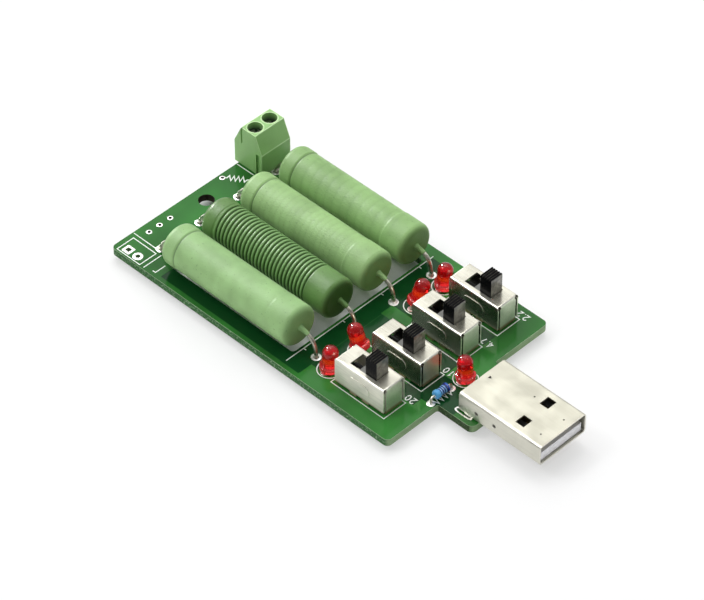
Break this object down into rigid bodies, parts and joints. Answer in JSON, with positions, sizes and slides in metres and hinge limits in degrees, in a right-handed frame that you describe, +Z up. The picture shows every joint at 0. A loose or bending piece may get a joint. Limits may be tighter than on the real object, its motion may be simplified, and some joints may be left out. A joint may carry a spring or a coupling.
{
  "type": "usb resistive load",
  "caption": "Plug-in resistive test load: a board with wirewound resistors switched in by slide switches, indicator lamps and a screw terminal.",
  "frame": {"origin": "centre of the bounding box in plan, at the ends of the soldered leads that it stands on", "axes": "+X along the board towards the plug, +Y across the board towards the screw terminal, +Z up from the component side"},
  "size_m": [0.0954, 0.042, 0.0129],
  "materials": {
    "solder_mask": "glossy green solder mask on glass-fibre board",
    "resistor_coating": "matte sage green silicone coating",
    "resistor_coating_dark": "semi-matte darker green coating",
    "ceramic": "unglazed ceramic",
    "resistance_wire": "wound resistance wire",
    "tinned_wire": "tinned copper, satin",
    "nickel_sheet": "nickel-plated sheet",
    "black_phenolic": "dark phenolic sheet",
    "black_plastic": "black moulded plastic, satin",
    "spring_bronze": "spring strip",
    "red_lens": "clear red resin",
    "film_resistor_body": "glossy blue lacquer",
    "plug_plating": "satin nickel plating",
    "white_plastic": "white moulded plastic",
    "gilt_contact": "gold-flashed contact strip",
    "terminal_green": "light green moulded plastic",
    "screw_steel": "zinc-plated steel",
    "cage_steel": "nickel-plated clamp"
  },
  "bodies": {
    "board_assembly": {"circuit_board": "solder_mask", "series_resistor_body": "film_resistor_body", "series_resistor_lead": "tinned_wire", "plug_shell": "plug_plating", "plug_insulator": "white_plastic", "plug_contacts": "gilt_contact", "terminal_housing": "terminal_green", "terminal_pins": "tinned_wire", "power_resistor_1_coating": "resistor_coating", "power_resistor_1_core": "ceramic", "power_resistor_1_winding": "resistance_wire", "power_resistor_1_leads": "tinned_wire", "switch_1_frame": "nickel_sheet", "switch_1_base": "black_phenolic", "switch_1_terminals": "tinned_wire", "power_resistor_2_coating": "resistor_coating_dark", "power_resistor_2_core": "ceramic", "power_resistor_2_winding": "resistance_wire", "power_resistor_2_leads": "tinned_wire", "switch_2_frame": "nickel_sheet", "switch_2_base": "black_phenolic", "switch_2_terminals": "tinned_wire", "power_resistor_3_coating": "resistor_coating", "power_resistor_3_core": "ceramic", "power_resistor_3_winding": "resistance_wire", "power_resistor_3_leads": "tinned_wire", "switch_3_frame": "nickel_sheet", "switch_3_base": "black_phenolic", "switch_3_terminals": "tinned_wire", "power_resistor_4_coating": "resistor_coating", "power_resistor_4_core": "ceramic", "power_resistor_4_winding": "resistance_wire", "power_resistor_4_leads": "tinned_wire", "switch_4_frame": "nickel_sheet", "switch_4_base": "black_phenolic", "switch_4_terminals": "tinned_wire", "lamp_1_lens": "red_lens", "lamp_1_leads": "tinned_wire", "lamp_2_lens": "red_lens", "lamp_2_leads": "tinned_wire", "lamp_3_lens": "red_lens", "lamp_3_leads": "tinned_wire", "lamp_4_lens": "red_lens", "lamp_4_leads": "tinned_wire", "lamp_5_lens": "red_lens", "lamp_5_leads": "tinned_wire"},
    "switch_1_slider": {"switch_1_knob": "black_plastic", "switch_1_contact_clip": "spring_bronze"},
    "switch_2_slider": {"switch_2_knob": "black_plastic", "switch_2_contact_clip": "spring_bronze"},
    "switch_3_slider": {"switch_3_knob": "black_plastic", "switch_3_contact_clip": "spring_bronze"},
    "switch_4_slider": {"switch_4_knob": "black_plastic", "switch_4_contact_clip": "spring_bronze"},
    "screw_1": {"terminal_screw_1": "screw_steel"},
    "cage_1": {"terminal_cage_1": "cage_steel"},
    "screw_2": {"terminal_screw_2": "screw_steel"},
    "cage_2": {"terminal_cage_2": "cage_steel"}
  },
  "joints": [
    {"name": "switch_1_slide", "type": "slide", "parent": "board_assembly", "child": "switch_1_slider", "axis": [1, 0, 0], "range_m": [-0.0036, 0]},
    {"name": "switch_2_slide", "type": "slide", "parent": "board_assembly", "child": "switch_2_slider", "axis": [1, 0, 0], "range_m": [-0.0036, 0]},
    {"name": "switch_3_slide", "type": "slide", "parent": "board_assembly", "child": "switch_3_slider", "axis": [1, 0, 0], "range_m": [-0.0036, 0]},
    {"name": "switch_4_slide", "type": "slide", "parent": "board_assembly", "child": "switch_4_slider", "axis": [1, 0, 0], "range_m": [-0.0036, 0]},
    {"name": "cage_1_lift", "type": "slide", "parent": "board_assembly", "child": "cage_1", "axis": [0, 0, 1], "range_m": [0, 0.0015]},
    {"name": "screw_1_turn", "type": "hinge", "parent": "board_assembly", "child": "screw_1", "pos_m": [-0.044, 0.01395, 0.0094], "axis": [0, 0, 1], "range_deg": [-1080, 0]},
    {"name": "cage_2_lift", "type": "slide", "parent": "board_assembly", "child": "cage_2", "axis": [0, 0, 1], "range_m": [0, 0.0015]},
    {"name": "screw_2_turn", "type": "hinge", "parent": "board_assembly", "child": "screw_2", "pos_m": [-0.044, 0.01775, 0.0094], "axis": [0, 0, 1], "range_deg": [-1080, 0]}
  ],
  "couplings": [
    {"joint": "screw_1_turn", "follows": "cage_1_lift", "rad_per_m": -12566},
    {"joint": "screw_2_turn", "follows": "cage_2_lift", "rad_per_m": -12566}
  ]
}
